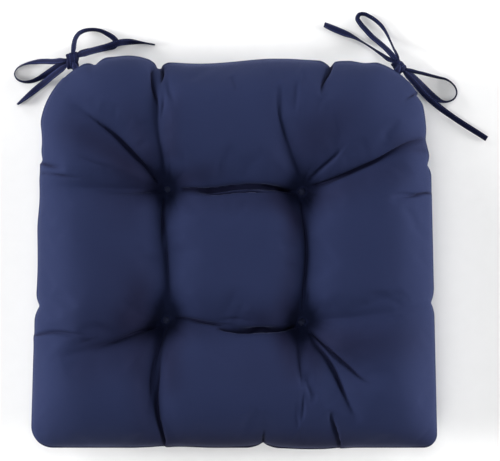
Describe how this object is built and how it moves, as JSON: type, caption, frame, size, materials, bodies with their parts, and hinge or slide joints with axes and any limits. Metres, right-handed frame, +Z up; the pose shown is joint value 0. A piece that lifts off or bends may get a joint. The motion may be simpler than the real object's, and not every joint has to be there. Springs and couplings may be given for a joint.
{
  "type": "wicker chair cushion",
  "caption": "Tufted, fibre-filled seat cushion for a wicker chair, narrower at the back, with a tape bow at each back corner for tying it on.",
  "frame": {"origin": "under the middle of the cushion without its ties, on the surface that it lies on", "axes": "+Z up, through the thickness; -Y towards the wide front edge; +Y towards the narrower back edge with the ties; +X to the right seen from the front"},
  "size_m": [0.5689, 0.5214, 0.1112],
  "materials": {
    "cover": "plain-woven polyester, solid navy, soft sheen",
    "tape": "folded and stitched tape of the cover's cloth, navy",
    "thread": "heavy sewing thread, navy"
  },
  "bodies": {
    "root": {"cushion": "cover", "tuft_back_left": "thread", "tuft_back_right": "thread", "tuft_front_left": "thread", "tuft_front_right": "thread", "tie_left_knot": "tape", "tie_left_lead_inner": "tape", "tie_left_lead_outer": "tape", "tie_left_loop_back": "tape", "tie_left_loop_out": "tape", "tie_left_tail_out": "tape", "tie_left_tail_back": "tape", "tie_right_knot": "tape", "tie_right_lead_inner": "tape", "tie_right_lead_outer": "tape", "tie_right_loop_back": "tape", "tie_right_loop_out": "tape", "tie_right_tail_out": "tape", "tie_right_tail_back": "tape"}
  },
  "joints": []
}
